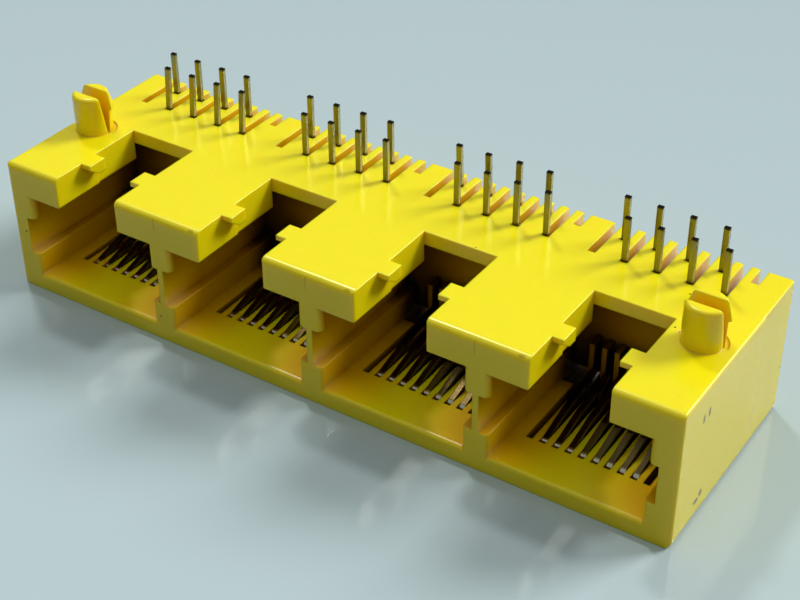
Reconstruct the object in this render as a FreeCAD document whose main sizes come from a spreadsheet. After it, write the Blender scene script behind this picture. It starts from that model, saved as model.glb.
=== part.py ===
import FreeCAD, Part
import math
import os
import Sketcher

# Four-port modular jack for a circuit board: one moulded housing, eight spring contacts per port.
# It lies with its board face up (pins and pegs point along +Z), its four ports open towards -Y.
# In each body the front face is y = 0; the placement then centres the depth on the origin.

doc = FreeCAD.newDocument("EthernetJack")

SIZES = [
    ("port_count", 4),
    ("port_pitch", 13.97),
    ("body_length", 58.2),
    ("body_height", 11.3),
    ("body_depth", 17.9),
    ("corner_round", 0.3),
    ("lower_round", 0.55),
    ("front_round", 0.5),
    ("end_round", 0.2),
    # plug cavity
    ("cavity_width", 11.9),
    ("cavity_depth", 13.0),
    ("floor_thickness", 1.45),
    ("lip_depth", 0.65),
    ("stem_round", 0.5),
    ("post_round", 0.3),
    ("head_round", 0.15),
    ("web_thickness", 0.5),
    ("ledge_height", 1.95),
    ("stem_height", 2.1),
    ("head_height", 2.6),
    ("plate_thickness", 1.15),
    ("lead_in", 0.3),
    # latch slot on the board side and its two keepers
    ("latch_width", 5.94),
    ("latch_rear_width", 6.2),
    ("latch_depth", 9.3),
    ("keeper_reach", 0.91),
    ("keeper_root", 0.3),
    ("keeper_front", 3.0),
    ("keeper_back", 4.7),
    ("keeper_nose", 0.42),
    ("keeper_ramp", 0.9),
    ("keeper_thickness", 1.05),
    # contact positions: ten moulded, the middle eight fitted
    ("position_count", 10),
    ("contact_pitch", 1.02),
    ("groove_front", 3.55),
    ("groove_depth", 1.0),
    ("groove_width", 0.54),
    ("tray_front", 10.7),
    ("fan_start", 10.9),
    ("fin_thickness", 0.38),
    ("fin_front", 11.7),
    ("fin_rise", 0.35),
    ("fin_height", 2.95),
    # solder tails: two rows, staggered by one step
    ("tail_step", 1.27),
    ("tail_shift", 0.13),
    ("row_spacing", 2.54),
    ("front_row", 13.77),
    ("tail_length", 3.62),
    ("lean_back", 0.27),
    ("lean_forward", 0.2),
    ("comb_width", 0.62),
    ("comb_gap", 0.12),
    ("window_height", 1.9),
    # contact strip
    ("strip_width", 0.44),
    ("strip_thickness", 0.3),
    ("bend_radius", 0.36),
    ("elbow_radius", 0.5),
    ("groove_gap", 0.03),
    ("front_gap", 0.3),
    ("beam_slope", 16),
    ("knee_place", 7.0),
    ("tip_slope", 9),
    ("beam_end", 12.0),
    # locating pegs
    ("peg_spacing", 53.5),
    ("peg_shift", -0.15),
    ("peg_setback", 7.9),
    ("peg_diameter", 3.0),
    ("peg_height", 3.3),
    ("peg_round", 0.3),
    ("peg_slot", 0.2),
    ("peg_slot_mouth", 1.2),
    ("latch_half_height", 3.35),
    ("barb_reach", 0.22),
    ("barb_height", 1.9),
    ("relief_gap", 0.08),
    ("relief_depth", 0.12),
    # end faces step in behind the mould's parting line
    ("parting_setback", 12.7),
    ("parting_step", 0.07),
]

sheet = doc.addObject("Spreadsheet::Sheet", "Sizes")
for row, (alias, value) in enumerate(SIZES, start=1):
    sheet.set(f"A{row}", alias)
    sheet.set(f"B{row}", str(value))
    sheet.setAlias(f"B{row}", alias)
doc.recompute()


def size(formula):
    """The formula with each size name written as a cell of the sheet."""
    words = {alias for alias, value in SIZES}
    text = ""
    word = ""
    for character in formula + " ":
        if character.isalnum() or character == "_":
            word += character
            continue
        text += "Sizes." + word if word in words else word
        text += character
        word = ""
    return text.strip()


def number(formula):
    """The formula's present value."""
    result = sheet.evalExpression(size(formula))
    return float(getattr(result, "Value", result))


def new_body(name):
    body = doc.addObject("PartDesign::Body", name)
    body.Label = name
    body.setExpression("Placement.Base.y", size("-body_depth / 2"))
    return body


def new_sketch(body, name, role, along="0", across="0"):
    """Sketch on an origin plane, moved along its normal and across, along its own x."""
    sketch = body.newObject("Sketcher::SketchObject", name)
    plane = next(item for item in body.Origin.OriginFeatures if item.Role == role)
    sketch.AttachmentSupport = [(plane, "")]
    sketch.MapMode = "FlatFace"
    sketch.setExpression("AttachmentOffset.Base.z", size(along))
    sketch.setExpression("AttachmentOffset.Base.x", size(across))
    return sketch


def bind(sketch, constraint, formula):
    """Add a dimension to the sketch and tie it to the sheet."""
    index = sketch.addConstraint(constraint)
    title = f"size{index}"
    sketch.renameConstraint(index, title)
    sketch.setExpression(f"Constraints.{title}", size(formula))


def outline(sketch, corners, arcs=None):
    """Closed outline through corners, each an (x, y) pair of formulas.

    arcs maps the number of a side to (radius formula, sign): the side is an arc of that
    radius, with its centre to the left (+1) or right (-1) of the way from corner to corner.
    """
    arcs = arcs or {}
    points = [FreeCAD.Vector(number(x), number(y), 0) for x, y in corners]
    count = len(points)
    ends = []
    for side in range(count):
        start = points[side]
        stop = points[(side + 1) % count]
        if side in arcs:
            radius = number(arcs[side][0])
            chord = stop - start
            normal = FreeCAD.Vector(-chord.y, chord.x, 0).normalize() * arcs[side][1]
            reach = math.sqrt(max(radius ** 2 - (chord.Length / 2) ** 2, 0))
            centre = (start + stop) * 0.5 + normal * reach
            middle = centre - normal * radius
            geometry = sketch.addGeometry(Part.Arc(start, middle, stop), False)
            first = sketch.getPoint(geometry, 1)
            swapped = (first - start).Length > (first - stop).Length
            ends.append((geometry, 2, 1) if swapped else (geometry, 1, 2))
        else:
            geometry = sketch.addGeometry(Part.LineSegment(start, stop), False)
            ends.append((geometry, 1, 2))
    for side in range(count):
        geometry, first, last = ends[side]
        follower, joined, unused = ends[(side + 1) % count]
        sketch.addConstraint(Sketcher.Constraint("Coincident", geometry, last, follower, joined))
    for side, (x, y) in enumerate(corners):
        geometry, first, last = ends[side]
        bind(sketch, Sketcher.Constraint("DistanceX", -1, 1, geometry, first, number(x)), x)
        bind(sketch, Sketcher.Constraint("DistanceY", -1, 1, geometry, first, number(y)), y)
    for side, (radius, sign) in arcs.items():
        bind(sketch, Sketcher.Constraint("Radius", ends[side][0], number(radius)), radius)


def rectangle(sketch, left, low, right, high):
    outline(sketch, [(left, low), (right, low), (right, high), (left, high)])


def extrude(body, kind, name, sketch, length, flip=False, symmetric=False):
    """Pad along the sketch's normal, or Pocket against it; flip turns it round."""
    feature = body.newObject("PartDesign::" + kind, name)
    feature.Profile = sketch
    feature.setExpression("Length", size(length))
    feature.Reversed = flip
    if symmetric:
        feature.SideType = "Symmetric"
    return feature


FIRST_PORT = "-port_pitch * (port_count - 1) / 2"
CAVITY_TOP = "body_height - head_height"
LEDGE_TOP = "floor_thickness + ledge_height"
RECESS_HALF = "(port_pitch - web_thickness) / 2"
GROOVE_FLOOR = "floor_thickness - groove_depth"
REAR_ROW = "front_row + row_spacing"
# Tails bent a little above the board face, by port and position, and how far their tips stand off.
TAIL_LEANS = {(1, 2): "lean_back", (1, 4): "lean_back", (1, 6): "lean_back", (1, 8): "lean_back",
              (3, 1): "-lean_forward", (3, 3): "-lean_forward"}


def repeat_along_ports(body, name, originals):
    pattern = body.newObject("PartDesign::LinearPattern", name)
    pattern.Originals = originals
    axis = next(item for item in body.Origin.OriginFeatures if item.Role == "X_Axis")
    pattern.Direction = (axis, [""])
    pattern.setExpression("Length", size("port_pitch * (port_count - 1)"))
    pattern.setExpression("Occurrences", size("port_count"))
    body.Tip = pattern
    return pattern


TOLERANCE = 1e-4


def edges_where(shape, test):
    """Names of the straight edges whose two end points pass the test."""
    names = []
    for index, edge in enumerate(shape.Edges, start=1):
        if len(edge.Vertexes) == 2 and test(edge.Vertexes[0].Point, edge.Vertexes[1].Point):
            names.append(f"Edge{index}")
    return names


def near(value, formula):
    return abs(value - number(formula)) < TOLERANCE


def port_offset(x):
    """Distance of x from the centre of the nearest port."""
    pitch = number("port_pitch")
    return abs((x - number(FIRST_PORT) + pitch / 2) % pitch - pitch / 2)


def dress(body, kind, name, amount, test):
    """Fillet or Chamfer of the straight edges of the present tip that pass the test."""
    doc.recompute()
    base = body.Tip
    chosen = edges_where(base.Shape, test)
    feature = body.newObject("PartDesign::" + kind, name)
    feature.Base = (base, chosen)
    feature.setExpression("Radius" if kind == "Fillet" else "Size", size(amount))


def round_corner(body, name, role, corner, outward, radius, length, flip=False):
    """Pocket that rounds the outer corner at (x, y); outward gives the signs of the way out of it."""
    (x, y), (right, up) = corner, outward
    sketch = new_sketch(body, f"{name}_outline", role)
    inner_x = f"{x} - {right} * {radius}"
    inner_y = f"{y} - {up} * {radius}"
    outer_x = f"{x} + {right} * {radius}"
    outer_y = f"{y} + {up} * {radius}"
    outline(sketch, [(inner_x, y), (x, inner_y), (outer_x, inner_y), (outer_x, outer_y), (inner_x, outer_y)],
            {0: (radius, -right * up)})
    extrude(body, "Pocket", name, sketch, length, flip=flip)


def make_block(body):
    """Outer block: rounded along its front top edge and its corners, stepped behind the parting line."""
    profile = new_sketch(body, "block_profile", "YZ_Plane")
    outline(profile, [("0", "0"), ("0", "body_height - front_round"), ("front_round", "body_height"),
                      ("body_depth", "body_height"), ("body_depth", "0")], {1: ("front_round", -1)})
    extrude(body, "Pad", "block", profile, "body_length", symmetric=True)
    for title, sign in (("left", -1), ("right", 1)):
        side = f"{sign} * body_length / 2"
        round_corner(body, f"lower_{title}", "XZ_Plane", (side, "0"), (sign, -1), "lower_round", "body_depth")
        round_corner(body, f"upper_{title}", "XZ_Plane", (side, "body_height"), (sign, 1), "end_round",
                     "body_depth")
        round_corner(body, f"front_{title}", "XY_Plane", (side, "0"), (sign, -1), "corner_round",
                     "body_height", flip=True)
        round_corner(body, f"rear_{title}", "XY_Plane", (side, "body_depth"), (sign, 1), "corner_round",
                     "body_height", flip=True)
        step = new_sketch(body, f"parting_{title}_outline", "XY_Plane")
        outer = f"{side} + {sign} * parting_step"
        face = f"{side} - {sign} * parting_step"
        low, high = (outer, face) if sign < 0 else (face, outer)
        rectangle(step, low, "parting_setback", high, "body_depth + parting_step")
        extrude(body, "Pocket", f"parting_{title}", step, "body_height", flip=True)


def make_cavity(body):
    """One plug cavity: guide walls, side recess behind the front stems, room under the plate."""
    features = []
    front = new_sketch(body, "cavity_outline", "XZ_Plane", across=FIRST_PORT)
    rectangle(front, "-cavity_width / 2", "floor_thickness", "cavity_width / 2", CAVITY_TOP)
    features.append(extrude(body, "Pocket", "cavity", front, "cavity_depth"))
    low = new_sketch(body, "recess_low_outline", "XZ_Plane", across=FIRST_PORT)
    rectangle(low, f"-({RECESS_HALF})", LEDGE_TOP, RECESS_HALF, f"{CAVITY_TOP} - stem_height")
    features.append(extrude(body, "Pocket", "recess_low", low, "cavity_depth"))
    high = new_sketch(body, "recess_high_outline", "XZ_Plane", "-lip_depth", FIRST_PORT)
    rectangle(high, f"-({RECESS_HALF})", LEDGE_TOP, RECESS_HALF, CAVITY_TOP)
    features.append(extrude(body, "Pocket", "recess_high", high, "cavity_depth - lip_depth"))
    room = new_sketch(body, "rear_room_outline", "XZ_Plane", "-latch_depth", FIRST_PORT)
    rectangle(room, "-cavity_width / 2", f"{CAVITY_TOP} - lead_in", "cavity_width / 2",
              "body_height - plate_thickness")
    features.append(extrude(body, "Pocket", "rear_room", room, "cavity_depth - latch_depth"))
    slot = new_sketch(body, "latch_outline", "XY_Plane", "body_height", FIRST_PORT)
    wall = "latch_width / 2"
    rear = "latch_rear_width / 2"
    outline(slot, [(f"-({wall} + head_round)", "0"), (f"-({wall} + head_round)", "-head_round"),
                   (f"{wall} + head_round", "-head_round"), (f"{wall} + head_round", "0"),
                   (wall, "head_round"), (wall, "keeper_back"), (rear, "keeper_back"), (rear, "latch_depth"),
                   (f"-{rear}", "latch_depth"), (f"-{rear}", "keeper_back"), (f"-{wall}", "keeper_back"),
                   (f"-{wall}", "head_round")], {3: ("head_round", -1), 11: ("head_round", -1)})
    features.append(extrude(body, "Pocket", "latch_slot", slot, "head_height + lead_in"))
    edge = new_sketch(body, "lead_in_outline", "YZ_Plane", FIRST_PORT)
    outline(edge, [("-lead_in", "floor_thickness - lead_in"), ("0", "floor_thickness - lead_in"),
                   ("lead_in", "floor_thickness"), ("lead_in", "floor_thickness + lead_in"),
                   ("-lead_in", "floor_thickness + lead_in")], {1: ("lead_in", -1)})
    features.append(extrude(body, "Pocket", "floor_lead_in", edge, "cavity_width", symmetric=True))
    return features


def make_grooves(body):
    """Ten floor grooves, the open tray behind them and the rear comb that holds the tails."""
    features = []
    floor = new_sketch(body, "groove_outlines", "XY_Plane", "floor_thickness", FIRST_PORT)
    comb = new_sketch(body, "comb_outlines", "XY_Plane", "body_height", FIRST_PORT)
    last = int(number("position_count"))
    for position in range(last):
        step = f"({position} - (position_count - 1) / 2)"
        centre = f"{step} * contact_pitch"
        rectangle(floor, f"{centre} - groove_width / 2", "groove_front", f"{centre} + groove_width / 2",
                  "tray_front + groove_width")
        tail = f"{step} * tail_step + tail_shift"
        row = REAR_ROW if position % 2 else "front_row"
        rectangle(comb, f"{tail} - comb_width / 2", f"{row} - strip_thickness / 2 - comb_gap",
                  f"{tail} + comb_width / 2", "body_depth + comb_gap")
    features.append(extrude(body, "Pocket", "grooves", floor, "groove_depth"))
    half = "((position_count - 1) / 2 * tail_step + comb_width / 2)"
    tray = new_sketch(body, "tray_outline", "XY_Plane", "floor_thickness", FIRST_PORT)
    rectangle(tray, f"tail_shift - {half}", "tray_front", f"tail_shift + {half}", "body_depth + comb_gap")
    features.append(extrude(body, "Pocket", "tray", tray, "groove_depth"))
    window = new_sketch(body, "window_outline", "XY_Plane", GROOVE_FLOOR, FIRST_PORT)
    rectangle(window, f"tail_shift - {half}", "front_row - strip_thickness / 2 - comb_gap",
              f"tail_shift + {half}", "body_depth + comb_gap")
    features.append(extrude(body, "Pocket", "window", window, "window_height", flip=True))
    features.append(extrude(body, "Pocket", "comb", comb, f"body_height - ({GROOVE_FLOOR})"))
    return features


def make_fins(body):
    """Thin fins in front of the rear wall; the spring ends rest between them."""
    fins = new_sketch(body, "fin_outlines", "XY_Plane", "floor_thickness + fin_rise", FIRST_PORT)
    for gap in range(int(number("position_count")) - 1):
        centre = f"({gap} - (position_count - 2) / 2) * contact_pitch"
        rectangle(fins, f"{centre} - fin_thickness / 2", "fin_front", f"{centre} + fin_thickness / 2",
                  "cavity_depth + fin_rise")
    return extrude(body, "Pad", "fins", fins, "fin_height")


def make_keepers(body):
    """Two small keepers that narrow each latch slot: flush on top, with a ramp beneath for the latch."""
    features = []
    for title, sign in (("left", -1), ("right", 1)):
        middle = f"{FIRST_PORT} + {sign} * (latch_width - keeper_reach + keeper_root) / 2"
        sketch = new_sketch(body, f"keeper_{title}_outline", "YZ_Plane", middle)
        outline(sketch, [("keeper_front", "body_height"), ("keeper_front", "body_height - keeper_nose"),
                         ("keeper_front + keeper_ramp", "body_height - keeper_thickness"),
                         ("keeper_back", "body_height - keeper_thickness"), ("keeper_back", "body_height")])
        features.append(extrude(body, "Pad", f"keeper_{title}", sketch, "keeper_reach + keeper_root",
                                symmetric=True))
    return features


def soften_edges(body):
    """Rounded front corners of the stems and posts, beside the cavities' mouths."""
    ledge = number(LEDGE_TOP)
    ceiling = number(CAVITY_TOP)

    def front_upright(p, q):
        mouth = near(p.y, "0") and near(q.y, "0") and abs(p.x - q.x) < TOLERANCE
        return mouth and near(port_offset(p.x), "cavity_width / 2")

    dress(body, "Fillet", "stem_rounds", "stem_round",
          lambda p, q: front_upright(p, q) and min(p.z, q.z) > ledge
          and max(p.z, q.z) < ceiling + TOLERANCE)
    dress(body, "Fillet", "post_rounds", "post_round",
          lambda p, q: front_upright(p, q) and max(p.z, q.z) < ledge + TOLERANCE)


def peg_x(side):
    return f"peg_shift + {side} * peg_spacing / 2"


def turn_half(body, kind, name, side, corners, arcs=None):
    """Half turn, centred on the profile's plane, about the peg's own upright axis."""
    sketch = new_sketch(body, f"{name}_outline", "YZ_Plane", peg_x(side), "peg_setback")
    outline(sketch, corners, arcs)
    feature = body.newObject("PartDesign::" + kind, name)
    feature.Profile = sketch
    feature.ReferenceAxis = (sketch, ["V_Axis"])
    feature.Angle = 180
    feature.Midplane = True


def make_peg(body, title, side):
    """Split peg: a plain front half with a rounded top, a taller rear half with a barb.

    The board face is relieved in a shallow half ring under the barb.
    """
    radius = "peg_diameter / 2"
    rim = f"{radius} + barb_reach + relief_gap"
    turn_half(body, "Groove", f"{title}_relief", side,
              [(radius, "body_height - relief_depth"), (rim, "body_height - relief_depth"),
               (rim, "body_height + relief_depth"), (radius, "body_height + relief_depth")])
    top = "body_height + peg_height"
    turn_half(body, "Revolution", f"{title}_front", side,
              [("0", "body_height"), ("0", top), (f"-({radius} - peg_round)", top),
               (f"-{radius}", f"{top} - peg_round"), (f"-{radius}", "body_height")], {2: ("peg_round", 1)})
    high = "body_height + latch_half_height"
    turn_half(body, "Revolution", f"{title}_rear", side,
              [("0", "body_height"), (radius, "body_height"), (radius, "body_height + barb_height"),
               (f"{radius} + barb_reach", "body_height + barb_height + barb_reach / 2"),
               (f"{radius} - barb_reach / 2", f"{high} - barb_reach / 2"),
               (f"{radius} - barb_reach", high), ("0", high)])
    slot = new_sketch(body, f"{title}_slot_outline", "YZ_Plane", peg_x(side), "peg_setback")
    outline(slot, [("-peg_slot / 2", "body_height"), ("peg_slot / 2", "body_height"),
                   ("peg_slot_mouth / 2", high), ("-peg_slot_mouth / 2", high)])
    extrude(body, "Pocket", f"{title}_slot", slot, "peg_diameter + 2 * barb_reach", symmetric=True)


def make_housing():
    body = new_body("housing")
    make_block(body)
    features = make_cavity(body)
    features += make_grooves(body)
    repeat_along_ports(body, "ports", features)
    fins = make_fins(body)
    repeat_along_ports(body, "port_fins", [fins])
    keepers = make_keepers(body)
    repeat_along_ports(body, "port_keepers", keepers)
    soften_edges(body)
    make_peg(body, "left_peg", "-1")
    make_peg(body, "right_peg", "1")
    return body


def make_contact(port, position):
    """One bent strip: spring beam with a slight knee, hairpin bend, run in its groove, fan-out and tail."""
    body = new_body(f"port{port + 1}_contact_{position}")
    centre = f"({FIRST_PORT} + {port} * port_pitch)"
    step = f"({position} - (position_count - 1) / 2)"
    groove_x = f"{centre} + {step} * contact_pitch"
    tail_x = f"{centre} + {step} * tail_step + tail_shift"
    row = f"({REAR_ROW})" if position % 2 else "front_row"
    half = "strip_thickness / 2"
    level = f"({GROOVE_FLOOR} + groove_gap + {half})"

    bend_y = f"(groove_front + front_gap + bend_radius + {half})"
    bend_z = f"({level} + bend_radius)"
    sine = "sin(beam_slope * 1deg)"
    cosine = "cos(beam_slope * 1deg)"
    outer = f"(bend_radius + {half})"
    inner = f"(bend_radius - {half})"
    lift = f"(knee_place - {bend_y} + bend_radius * {sine}) * tan(beam_slope * 1deg)"
    knee_z = f"({bend_z} + bend_radius * {cosine} + {lift})"
    knee_turn = "((beam_slope + tip_slope) / 2 * 1deg)"
    knee_half = f"({half} / cos((beam_slope - tip_slope) / 2 * 1deg))"
    end_z = f"({knee_z} + (beam_end - knee_place) * tan(tip_slope * 1deg))"
    end_half = f"({half} / cos(tip_slope * 1deg))"
    beam = new_sketch(body, body.Label + "_spring_outline", "YZ_Plane", groove_x)
    outline(beam, [("fan_start", f"{level} - {half}"),
                   (bend_y, f"{level} - {half}"),
                   (f"{bend_y} - {outer} * {sine}", f"{bend_z} + {outer} * {cosine}"),
                   (f"knee_place - {knee_half} * sin({knee_turn})", f"{knee_z} + {knee_half} * cos({knee_turn})"),
                   ("beam_end", f"{end_z} + {end_half}"),
                   ("beam_end", f"{end_z} - {end_half}"),
                   (f"knee_place + {knee_half} * sin({knee_turn})", f"{knee_z} - {knee_half} * cos({knee_turn})"),
                   (f"{bend_y} - {inner} * {sine}", f"{bend_z} + {inner} * {cosine}"),
                   (bend_y, f"{level} + {half}"),
                   ("fan_start", f"{level} + {half}")],
            {1: (outer, -1), 7: (inner, 1)})
    extrude(body, "Pad", body.Label + "_spring", beam, "strip_width", symmetric=True)

    elbow_y = f"({row} - elbow_radius)"
    fan = new_sketch(body, body.Label + "_fan_outline", "XY_Plane", f"{level} - {half}")
    outline(fan, [(f"{groove_x} - strip_width / 2", "fan_start"), (f"{groove_x} + strip_width / 2", "fan_start"),
                  (f"{tail_x} + strip_width / 2", elbow_y), (f"{tail_x} - strip_width / 2", elbow_y)])
    extrude(body, "Pad", body.Label + "_fan", fan, "strip_thickness")

    tip = "body_height + tail_length"
    tail_top = [(f"{row} + {half}", tip), (f"{row} - {half}", tip)]
    lean = TAIL_LEANS.get((port + 1, position))
    if lean:
        tail_top = [(f"{row} + {half}", "body_height"), (f"{row} + {half} + {lean}", tip),
                    (f"{row} - {half} + {lean}", tip), (f"{row} - {half}", "body_height")]
    tail = new_sketch(body, body.Label + "_tail_outline", "YZ_Plane", tail_x)
    outline(tail, [(elbow_y, f"{level} - {half}"), (f"{row} + {half}", f"{level} + elbow_radius"),
                   *tail_top,
                   (f"{row} - {half}", f"{level} + elbow_radius"), (elbow_y, f"{level} + {half}")],
            {0: (f"elbow_radius + {half}", 1), 2 + len(tail_top): (f"elbow_radius - {half}", -1)})
    extrude(body, "Pad", body.Label + "_tail", tail, "strip_width", symmetric=True)
    return body


parts = [make_housing()]
for port in range(int(number("port_count"))):
    for position in range(1, int(number("position_count")) - 1):
        parts.append(make_contact(port, position))
doc.recompute()

for item in doc.Objects:
    if "Invalid" in item.State or "Error" in item.State:
        raise RuntimeError(f"{item.Name} failed: {item.State}")
for body in parts:
    if body.Shape.isNull() or not body.Shape.isValid():
        raise RuntimeError(f"{body.Label} has no valid shape")

os.makedirs("parts", exist_ok=True)
for body in parts:
    body.Shape.exportStep(f"parts/{body.Label}.step")
    print(body.Label, len(body.Shape.Solids), round(body.Shape.Volume, 3), body.Shape.BoundBox)
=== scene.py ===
# %% [markdown]
# # A ganged modular jack, lying pins up
#
# The real object is a connector for a circuit board: one glossy yellow moulding with four plug ports side
# by side, and eight thin sprung strips of plated copper alloy in each port. It lies upside down, so its
# solder tails and its two split pegs point up, and its ports face the reader.
#
# The solids already have the true form, so they stay as they are. What Blender adds is everything the eye
# reads as material: the glow of light inside thin plastic, soft mould edges, an uneven gloss, specks and
# scuffs, plated metal with raw cut ends, and the photograph's camera and light.

# %% Load the solids
import math

import bpy
from mathutils import Euler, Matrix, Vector


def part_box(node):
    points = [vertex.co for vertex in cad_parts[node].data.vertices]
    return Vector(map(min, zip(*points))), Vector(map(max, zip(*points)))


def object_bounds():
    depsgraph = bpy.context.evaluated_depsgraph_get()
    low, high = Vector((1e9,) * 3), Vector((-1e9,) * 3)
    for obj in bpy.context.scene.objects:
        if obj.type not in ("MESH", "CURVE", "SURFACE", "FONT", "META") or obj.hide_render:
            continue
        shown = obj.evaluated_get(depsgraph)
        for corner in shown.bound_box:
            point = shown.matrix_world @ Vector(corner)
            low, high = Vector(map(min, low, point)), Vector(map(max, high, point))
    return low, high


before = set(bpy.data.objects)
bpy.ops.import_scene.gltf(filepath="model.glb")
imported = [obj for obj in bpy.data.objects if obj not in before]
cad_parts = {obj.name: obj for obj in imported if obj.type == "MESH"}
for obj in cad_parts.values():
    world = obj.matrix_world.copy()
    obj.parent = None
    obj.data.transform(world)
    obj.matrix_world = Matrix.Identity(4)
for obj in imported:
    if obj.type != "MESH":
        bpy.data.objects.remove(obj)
solid_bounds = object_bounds()
MM = 0.001
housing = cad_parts["housing"]
contacts = [node for name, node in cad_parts.items() if "contact" in name]
print("solids loaded:", len(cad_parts), "of them contacts:", len(contacts))

# %% [markdown]
# ## Helpers for materials
#
# A material is a small graph of nodes. Every graph below is made with one function that adds a node, sets
# its options and joins its inputs, so a line of code reads like one box of the graph. Colours are written
# as the hex values that a screen shows, and turned into the linear values that light is summed in.

# %% Colour and node helpers


def linear(hex_colour):
    """Linear RGBA from an sRGB value such as #f2df20."""
    channels = [int(hex_colour[i:i + 2], 16) / 255 for i in (1, 3, 5)]
    return [c / 12.92 if c <= 0.04045 else ((c + 0.055) / 1.055) ** 2.4 for c in channels] + [1.0]


def add(tree, kind, inputs=None, **options):
    """A new node. inputs maps a socket's name or number to a value, or to another node's output."""
    node = tree.nodes.new(kind)
    for option, value in options.items():
        setattr(node, option, value)
    for socket, value in (inputs or {}).items():
        if isinstance(value, bpy.types.NodeSocket):
            tree.links.new(value, node.inputs[socket])
        else:
            node.inputs[socket].default_value = value
    return node


def new_material(name):
    """An empty material with its output node."""
    material = bpy.data.materials.new(name)
    material.use_nodes = True
    material.node_tree.nodes.clear()
    return material, material.node_tree, material.node_tree.nodes.new("ShaderNodeOutputMaterial")


def dress(node, material):
    """Every slot of a loaded solid gets the material."""
    if not node.material_slots:
        node.data.materials.append(material)
    for place in node.material_slots:
        place.material = material


print("a mid grey on the screen is", round(linear("#808080")[0], 3), "of the light of white")

# %% [markdown]
# ## Moulded PBT
#
# The housing is injection-moulded PBT polyester, coloured right through. Three things make it look like
# plastic and not like paint. Light enters it and comes out warmer, so thin fins and the slit of a peg glow
# orange: that is subsurface scattering, with red travelling furthest. Its surface copies a polished mould,
# so it is glossy, but never perfectly flat. And every moulded edge has a small radius, which catches a
# line of light. The Bevel node rounds the shading over edges at the mould's own radius, which keeps the
# solid's form untouched.
#
# The grain of a polished mould is finer than one pixel of this picture, so it is drawn as coarse as it
# needs to show.

# %% Sizes of the moulding's surface
EDGE_RADIUS = 0.16 * MM
SCATTER_DEPTH = 0.55 * MM
SCATTER_BY_COLOUR = (1.0, 0.48, 0.08)
SCATTER_SHARE = 0.55
WAVE_LENGTH = 2.2 * MM
WAVE_DEPTH = 0.02 * MM
WAVE_STRENGTH = 0.05
GRAIN_SIZE = 0.12 * MM
GRAIN_DEPTH = 0.004 * MM
GRAIN_STRENGTH = 0.10
print("edge radius", EDGE_RADIUS / MM, "mm, grain", GRAIN_SIZE / MM, "mm")

# %% [markdown]
# ## Marks on the moulding
#
# The real part carries a handful of marks. Dark specks were moulded in or picked up in handling, and the
# right end has two pairs of short scuffs. At the top of the wall between two ports runs a faint upright
# line, and near it the edge is rubbed. The end face has a lighter line where the mould's halves parted:
# a painted highlight, for the light that the small step there catches.
#
# Marks could be painted on a picture, but a picture needs the surface unwrapped. Here each mark is a spot
# given by its place and its reach in millimetres, so it stays on the plastic whichever way the camera
# looks. The grain frays the outlines, because no real mark is a perfect disc.

# %% Where the marks are, in millimetres
SPECKS = [
    ((-28.0, -8.95, 5.26), 0.13),
    ((-14.34, -8.95, 2.18), 0.10),
    ((8.18, 0.53, 11.3), 0.09),
    ((23.59, 3.51, 11.3), 0.11),
    ((24.39, -0.6, 11.3), 0.11),
    ((29.1, 8.76, 3.85), 0.14),
    ((13.4, -8.2, 1.45), 0.10),
]
SCUFFS = [
    ((29.1, -4.82, 9.0), (0.15, 0.20, 0.52)),
    ((29.1, -5.66, 8.93), (0.15, 0.18, 0.50)),
    ((29.1, -4.65, 1.90), (0.15, 0.28, 0.38)),
    ((29.1, -5.30, 1.62), (0.15, 0.52, 0.22)),
]
WITNESS_LINES = [((x, -8.95, 10.6), (0.06, 0.2, 0.9)) for x in (-14.1, -0.14, 13.8)]
SMUDGES = [((x, -8.8, 11.15), (0.35, 0.3, 0.12)) for x in (-10.6, 3.38, 17.3)]
# Painted highlight: the lighter line along the parting line of the end face.
PARTING_HIGHLIGHT_SPOT = ((29.1, 3.75, 5.6), (0.4, 0.14, 9.5))
DARK_MARK = 0.9
FAINT_MARK = 0.3
FRAYED_BY = 0.08
print("marks:", len(SPECKS), "specks,", len(SCUFFS), "scuffs,", len(WITNESS_LINES), "witness lines")

# %% A mask for the marks
SOLID_PART = 0.55


def spot(tree, place, centre, reach):
    """1 at the centre, falling to 0 at the reach given along each axis, both in millimetres."""
    offset = add(tree, "ShaderNodeVectorMath", {0: place, 1: [c * MM for c in centre]}, operation="SUBTRACT")
    scaled = add(tree, "ShaderNodeVectorMath", {0: offset.outputs[0], 1: [r * MM for r in reach]},
                 operation="DIVIDE")
    distance = add(tree, "ShaderNodeVectorMath", {0: scaled.outputs[0]}, operation="LENGTH")
    return add(tree, "ShaderNodeMapRange",
               {0: distance.outputs["Value"], 1: SOLID_PART, 2: 1.0, 3: 1.0, 4: 0.0})


def dirt_mask(tree, place, grain):
    """The strength of the strongest mark at each place."""
    fray = add(tree, "ShaderNodeVectorMath", {0: grain.outputs["Color"], 1: [FRAYED_BY * MM] * 3},
               operation="MULTIPLY")
    frayed = add(tree, "ShaderNodeVectorMath", {0: place, 1: fray.outputs[0]}, operation="ADD")
    dark_marks = [(centre, (reach, reach, reach)) for centre, reach in SPECKS] + SCUFFS
    faint_marks = WITNESS_LINES + SMUDGES
    strongest = 0.0
    for strength, marks in ((DARK_MARK, dark_marks), (FAINT_MARK, faint_marks)):
        for centre, reach in marks:
            mark = spot(tree, frayed.outputs[0], [value + FRAYED_BY / 2 for value in centre], reach)
            mark = add(tree, "ShaderNodeMath", {0: mark.outputs[0], 1: strength}, operation="MULTIPLY")
            strongest = add(tree, "ShaderNodeMath", {0: strongest, 1: mark.outputs[0]},
                            operation="MAXIMUM").outputs[0]
    return strongest


print("a mark is solid over", SOLID_PART, "of its reach and fades out from there")
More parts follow.
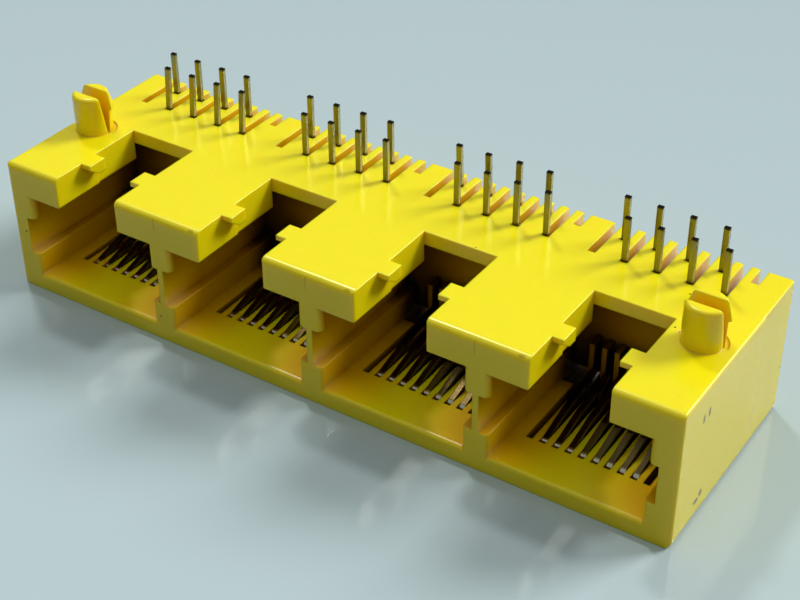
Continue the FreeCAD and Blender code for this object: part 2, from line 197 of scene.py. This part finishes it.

# %% [markdown]
# ## Painted shade of the hollows
#
# Light that goes deep into a coloured hollow bounces off yellow walls again and again, and each bounce
# takes more of its green and blue. So the ports of the real part turn from yellow through amber to a dark
# brown. The render follows those bounces too, but its plain light fills the ports more than the room in
# the photograph did.
#
# What is missing is painted in as shade: a colour that multiplies the tint. The Ambient Occlusion node
# tells how open each place is, counting the housing alone and not the table, and a ramp gives the painted
# shade for it. Two corrections go by position. The lips of the latch slots, near the board face, are
# painted lighter, as more open. The rear of each port, where it is enclosed, is painted darker, as deeper.

# %% How the painted shade follows the depth
HOLLOW_REACH = 6.0 * MM
HOLLOW_SHADE_COLOURS = [
    (0.08, "#2a1800"),
    (0.30, "#c89c58"),
    (0.50, "#e4c080"),
    (0.85, "#f6d8a0"),
    (1.0, "#ffffff"),
]
# Painted light at the slot lips, and painted shade at the enclosed rear of each port.
LIP_HEIGHT = (8.6 * MM, 9.8 * MM)
LIP_OPENNESS = 0.4
REAR_SHADE = 0.32
REAR_TOP = (8.8 * MM, 10.0 * MM)
REAR_START = (0.2 * MM, 2.5 * MM)
REAR_END = (4.0 * MM, 5.0 * MM)
ENCLOSED = (0.75, 0.95)


def painted_hollow_shade(tree, place):
    """Painted shade: a colour from dark brown, deep inside, to white in the open."""
    hollow = add(tree, "ShaderNodeAmbientOcclusion", {"Distance": HOLLOW_REACH}, samples=6, only_local=True)
    openness = hollow.outputs["AO"]
    axes = add(tree, "ShaderNodeSeparateXYZ", {0: place})
    depth = axes.outputs["Y"]
    height = axes.outputs["Z"]

    lip = add(tree, "ShaderNodeMapRange", {0: height, 1: LIP_HEIGHT[0], 2: LIP_HEIGHT[1],
                                           3: 0.0, 4: LIP_OPENNESS})
    shade = add(tree, "ShaderNodeMapRange", {0: height, 1: REAR_TOP[0], 2: REAR_TOP[1],
                                             3: REAR_SHADE, 4: 0.0}).outputs[0]
    for measure, (start, end), before, after in ((depth, REAR_START, 0.0, 1.0), (depth, REAR_END, 1.0, 0.0),
                                                 (openness, ENCLOSED, 1.0, 0.0)):
        fade = add(tree, "ShaderNodeMapRange", {0: measure, 1: start, 2: end, 3: before, 4: after})
        shade = add(tree, "ShaderNodeMath", {0: shade, 1: fade.outputs[0]}, operation="MULTIPLY").outputs[0]

    lifted = add(tree, "ShaderNodeMath", {0: openness, 1: lip.outputs[0]}, operation="ADD")
    level = add(tree, "ShaderNodeMath", {0: lifted.outputs[0], 1: shade}, operation="SUBTRACT")
    tone = add(tree, "ShaderNodeValToRGB", {0: level.outputs[0]})
    for position, _ in HOLLOW_SHADE_COLOURS[1:-1]:
        tone.color_ramp.elements.new(position)
    for stop, (position, colour) in zip(tone.color_ramp.elements, HOLLOW_SHADE_COLOURS):
        stop.position = position
        stop.color = linear(colour)
    return tone.outputs["Color"]


print("a hollow's tone runs through", [colour for _, colour in HOLLOW_SHADE_COLOURS])

# %% [markdown]
# ## The housing's material
#
# The three parts come together in one Principled shader. A slow noise varies the tint and the gloss a
# little, as melt that cooled unevenly does, and also gives the surface its gentle ripple. PBT's index of
# refraction is close to 1.5, and its roughness is that of a polished mould that has been handled.

# %% Yellow PBT
TINT = ("#f8e60e", "#f6e20c")
# The colour of the painted highlight along the parting line.
PARTING_HIGHLIGHT_COLOUR = "#fff478"
DIRT_COLOUR = "#3a2a08"
PBT_ROUGHNESS = (0.18, 0.30)
PBT_IOR = 1.50


def moulded_pbt():
    """The housing's material."""
    material, tree, output = new_material("moulded_pbt_yellow")
    place = add(tree, "ShaderNodeNewGeometry").outputs["Position"]
    wave = add(tree, "ShaderNodeTexNoise", {"Vector": place, "Scale": 1 / WAVE_LENGTH, "Detail": 2.0})
    grain = add(tree, "ShaderNodeTexNoise", {"Vector": place, "Scale": 1 / GRAIN_SIZE, "Detail": 3.0})

    tint = add(tree, "ShaderNodeMix", {0: wave.outputs["Fac"], 6: linear(TINT[0]), 7: linear(TINT[1])},
               data_type="RGBA")
    # Painted shade: the tint is multiplied by the painted shade of the hollows.
    hollow_shaded = add(tree, "ShaderNodeMix", {0: 1.0, 6: tint.outputs[2], 7: painted_hollow_shade(tree, place)},
                data_type="RGBA", blend_type="MULTIPLY")
    # Painted highlight along the parting line on the end face.
    line = spot(tree, place, *PARTING_HIGHLIGHT_SPOT)
    parting_highlighted = add(tree, "ShaderNodeMix", {0: line.outputs[0], 6: hollow_shaded.outputs[2], 7: linear(PARTING_HIGHLIGHT_COLOUR)},
                data_type="RGBA")
    dirt = dirt_mask(tree, place, grain)
    colour = add(tree, "ShaderNodeMix", {0: dirt, 6: parting_highlighted.outputs[2], 7: linear(DIRT_COLOUR)},
                 data_type="RGBA")

    gloss = add(tree, "ShaderNodeMapRange", {0: wave.outputs["Fac"], 1: 0.0, 2: 1.0,
                                             3: PBT_ROUGHNESS[0], 4: PBT_ROUGHNESS[1]})
    rounded = add(tree, "ShaderNodeBevel", {"Radius": EDGE_RADIUS}, samples=6)
    ripple = add(tree, "ShaderNodeBump", {"Strength": WAVE_STRENGTH, "Distance": WAVE_DEPTH,
                                          "Height": wave.outputs["Fac"], "Normal": rounded.outputs[0]})
    skin = add(tree, "ShaderNodeBump", {"Strength": GRAIN_STRENGTH, "Distance": GRAIN_DEPTH,
                                        "Height": grain.outputs["Fac"], "Normal": ripple.outputs[0]})
    shader = add(tree, "ShaderNodeBsdfPrincipled", {
        "Base Color": colour.outputs[2], "Roughness": gloss.outputs[0], "IOR": PBT_IOR,
        "Normal": skin.outputs[0], "Subsurface Weight": SCATTER_SHARE,
        "Subsurface Radius": SCATTER_BY_COLOUR, "Subsurface Scale": SCATTER_DEPTH})
    tree.links.new(shader.outputs[0], output.inputs[0])
    return material


dress(housing, moulded_pbt())
print("housing dressed:", [place.material.name for place in housing.material_slots])

# %% [markdown]
# ## Tin-plated phosphor bronze
#
# The contacts are punched from a plated copper-alloy strip and bent. The plating is a soft grey with a
# warm cast, drawn along the strip by the punching, so its roughness varies lengthwise. The tails were cut
# to length after plating: their ends are bare, oxidised and dark, and a little of the stain runs down the
# sides.
#
# Inside the ports the strips have only brown plastic to mirror, and just their front bends glint. The
# plain light shows less of that difference, so it is painted in: painted shade below the board face, and a
# painted highlight at the front bend. All three masks come from the place of a point alone and need no
# extra geometry.

# %% Sizes and colours of the contacts
TAIL_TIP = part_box(contacts[0].name)[1][2]
STAIN_DEPTH = 0.22 * MM
STAIN_FULL = 0.03 * MM
BOARD_FACE = 11.3 * MM
SHADE_BELOW = 0.3 * MM
SHADE_ABOVE = 0.35 * MM
NOSE_END = -5.1 * MM
NOSE_FADE = 0.4 * MM
DRAW_LENGTH = 0.9 * MM
DRAW_WIDTH = 0.05 * MM
DRAW_DEPTH = 0.006 * MM
DRAW_STRENGTH = 0.25
DRAW_SPREAD = (0.3, 0.7)
WORN_RADIUS = 0.05 * MM
PLATE = ("#7c7648", "#a29d70")
# Painted shade below the board face, and painted highlight at the front bends.
SHADED_COLOUR = "#4a3d22"
NOSE_HIGHLIGHT_COLOUR = "#e4dcc0"
STAIN_COLOUR = "#1d1a12"
PLATE_ROUGHNESS = (0.20, 0.36)
SHADED_ROUGHNESS = 0.16
STAIN_ROUGHNESS = 0.6
print("tails end at", round(TAIL_TIP / MM, 2), "mm, stained over", STAIN_DEPTH / MM, "mm")

# %% Plated bronze


def plated_bronze():
    """The contacts' material."""
    material, tree, output = new_material("tin_plated_bronze")
    place = add(tree, "ShaderNodeNewGeometry").outputs["Position"]
    axes = add(tree, "ShaderNodeSeparateXYZ", {0: place})
    height = axes.outputs["Z"]
    stretched = add(tree, "ShaderNodeVectorMath",
                    {0: place, 1: (1 / DRAW_WIDTH, 1 / DRAW_WIDTH, 1 / DRAW_LENGTH)}, operation="MULTIPLY")
    drawn = add(tree, "ShaderNodeTexNoise", {"Vector": stretched.outputs[0], "Scale": 1.0, "Detail": 3.0})

    stain = add(tree, "ShaderNodeMapRange",
                {0: height, 1: TAIL_TIP - STAIN_DEPTH, 2: TAIL_TIP - STAIN_FULL, 3: 0.0, 4: 1.0})
    # Painted shade: a darker colour below the board face, inside the ports.
    inside = add(tree, "ShaderNodeMapRange",
                 {0: height, 1: BOARD_FACE - SHADE_BELOW, 2: BOARD_FACE + SHADE_ABOVE, 3: 1.0, 4: 0.0})
    # Painted highlight: a pale colour at the front bend of each strip.
    nose_highlight = add(tree, "ShaderNodeMapRange",
               {0: axes.outputs["Y"], 1: NOSE_END, 2: NOSE_END + NOSE_FADE, 3: 1.0, 4: 0.0})

    plate = add(tree, "ShaderNodeMix", {0: drawn.outputs["Fac"], 6: linear(PLATE[0]), 7: linear(PLATE[1])},
                data_type="RGBA")
    shade = add(tree, "ShaderNodeMix", {0: nose_highlight.outputs[0], 6: linear(SHADED_COLOUR), 7: linear(NOSE_HIGHLIGHT_COLOUR)},
                data_type="RGBA")
    metal = add(tree, "ShaderNodeMix", {0: inside.outputs[0], 6: plate.outputs[2], 7: shade.outputs[2]},
                data_type="RGBA")
    colour = add(tree, "ShaderNodeMix", {0: stain.outputs[0], 6: metal.outputs[2], 7: linear(STAIN_COLOUR)},
                 data_type="RGBA")

    rough = add(tree, "ShaderNodeMapRange", {0: drawn.outputs["Fac"], 1: DRAW_SPREAD[0], 2: DRAW_SPREAD[1],
                                             3: PLATE_ROUGHNESS[0], 4: PLATE_ROUGHNESS[1]})
    sleek = add(tree, "ShaderNodeMix", {0: inside.outputs[0], 2: rough.outputs[0], 3: SHADED_ROUGHNESS})
    duller = add(tree, "ShaderNodeMix", {0: stain.outputs[0], 2: sleek.outputs[0], 3: STAIN_ROUGHNESS})
    worn = add(tree, "ShaderNodeBevel", {"Radius": WORN_RADIUS}, samples=6)
    brushed = add(tree, "ShaderNodeBump", {"Strength": DRAW_STRENGTH, "Distance": DRAW_DEPTH,
                                           "Height": drawn.outputs["Fac"], "Normal": worn.outputs[0]})
    shader = add(tree, "ShaderNodeBsdfPrincipled", {
        "Base Color": colour.outputs[2], "Metallic": 1.0, "Roughness": duller.outputs[0],
        "Normal": brushed.outputs[0]})
    tree.links.new(shader.outputs[0], output.inputs[0])
    return material


plating = plated_bronze()
for contact in contacts:
    dress(contact, plating)
print("contacts dressed:", len(contacts))

# %% [markdown]
# ## The table
#
# The part lies on a pale, cool, smooth surface, which takes the shadow and mirrors the part a little. A
# plain floor with one shader is enough for that.
#
# It has two colours, chosen by the Light Path node. What the camera sees, directly or in a reflection, is
# pale. The colour that light bounces off is duller, so less light is thrown up into the ports, which lie
# in deep shadow in the photograph.

# %% Floor
FLOOR_SIDE = 6.0
FLOOR_SEEN = "#b4c4c6"
FLOOR_BOUNCE = "#8d8a80"
FLOOR_ROUGHNESS = 0.10
FLOOR_IOR = 1.36


def table_top():
    """The floor's material, with one colour for the camera and one for bounced light."""
    material, tree, output = new_material("pale_table")
    rays = add(tree, "ShaderNodeLightPath")
    seen = add(tree, "ShaderNodeMath", {0: rays.outputs["Is Camera Ray"], 1: rays.outputs["Is Glossy Ray"]},
               operation="MAXIMUM")
    seen = add(tree, "ShaderNodeMath", {0: seen.outputs[0], 1: rays.outputs["Is Transmission Ray"]},
               operation="MAXIMUM")
    colour = add(tree, "ShaderNodeMix", {0: seen.outputs[0], 6: linear(FLOOR_BOUNCE), 7: linear(FLOOR_SEEN)},
                 data_type="RGBA")
    shader = add(tree, "ShaderNodeBsdfPrincipled", {
        "Base Color": colour.outputs[2], "Roughness": FLOOR_ROUGHNESS, "IOR": FLOOR_IOR})
    tree.links.new(shader.outputs[0], output.inputs[0])
    return material


bpy.ops.mesh.primitive_plane_add(size=FLOOR_SIDE, location=(0, 0, solid_bounds[0][2]))
floor = bpy.context.object
floor.name = "floor"
floor.data.materials.append(table_top())
print("floor at", round(floor.location.z / MM, 3), "mm")

# %% [markdown]
# ## Camera
#
# The photograph was measured against the known pitch of the ports, which gives where the camera stood and
# how long its lens was. Nothing is shifted or blurred: the whole object is sharp.

# %% Camera from the photograph
CAMERA_PLACE = (57.07, -83.22, 74.65)
CAMERA_TURN = (54.95, 0.31, 33.30)
FOCAL_PIXELS = 1608
IMAGE_WIDTH = 800

camera = bpy.data.objects.new("camera", bpy.data.cameras.new("camera"))
bpy.context.collection.objects.link(camera)
camera.location = [value * MM for value in CAMERA_PLACE]
camera.rotation_euler = Euler([math.radians(value) for value in CAMERA_TURN])
camera.data.lens = camera.data.sensor_width * FOCAL_PIXELS / IMAGE_WIDTH
camera.data.clip_start = 5 * MM
camera.data.clip_end = 10
bpy.context.scene.camera = camera
print("lens", round(camera.data.lens, 1), "mm")

# %% [markdown]
# ## Light
#
# Shadows tell where the light is. The tails' shadows fall to the left and forwards, so the main light is
# high behind the right shoulder of the part, and it is broad, because those shadows are faint. The spark
# on each bent contact needs a second, smaller light high on the left, which looks in through the latch
# slots.
#
# The rest is the light of a room. It is brightest overhead, as under a pale ceiling, so the part's upper
# faces come out lighter than its fronts.

# %% Lamps and world
KEY_FROM = (1.0, 1.38, 1.27)
KEY_SOFTNESS = 24
KEY_STRENGTH = 2.55
SPARK_FROM = (-0.45, 0.33, 0.83)
SPARK_SOFTNESS = 6
SPARK_STRENGTH = 0.75
ROOM_COLOUR = "#e6eef0"
ROOM_LOW = 0.15
ROOM_HIGH = 0.85
ROOM_RISES_FROM = 0.35


def sun(name, come_from, softness, strength):
    """A sun lamp. Its light comes from a direction, and its softness is an angle in degrees."""
    lamp = bpy.data.objects.new(name, bpy.data.lights.new(name, "SUN"))
    bpy.context.collection.objects.link(lamp)
    lamp.rotation_euler = Vector(come_from).to_track_quat("Z", "Y").to_euler()
    lamp.data.angle = math.radians(softness)
    lamp.data.energy = strength
    return lamp


lamps = [sun("key_light", KEY_FROM, KEY_SOFTNESS, KEY_STRENGTH),
         sun("spark_light", SPARK_FROM, SPARK_SOFTNESS, SPARK_STRENGTH)]
world = bpy.data.worlds.new("bright_room")
bpy.context.scene.world = world
world.use_nodes = True
room = world.node_tree
room.nodes.clear()
direction = add(room, "ShaderNodeTexCoord").outputs["Generated"]
height = add(room, "ShaderNodeSeparateXYZ", {0: direction}).outputs["Z"]
glow = add(room, "ShaderNodeMapRange", {0: height, 1: ROOM_RISES_FROM, 2: 1.0, 3: ROOM_LOW, 4: ROOM_HIGH})
walls = add(room, "ShaderNodeBackground", {"Color": linear(ROOM_COLOUR), "Strength": glow.outputs[0]})
add(room, "ShaderNodeOutputWorld", {"Surface": walls.outputs[0]})
bpy.context.scene.view_settings.view_transform = "Standard"
print("lamps:", [lamp.name for lamp in lamps])
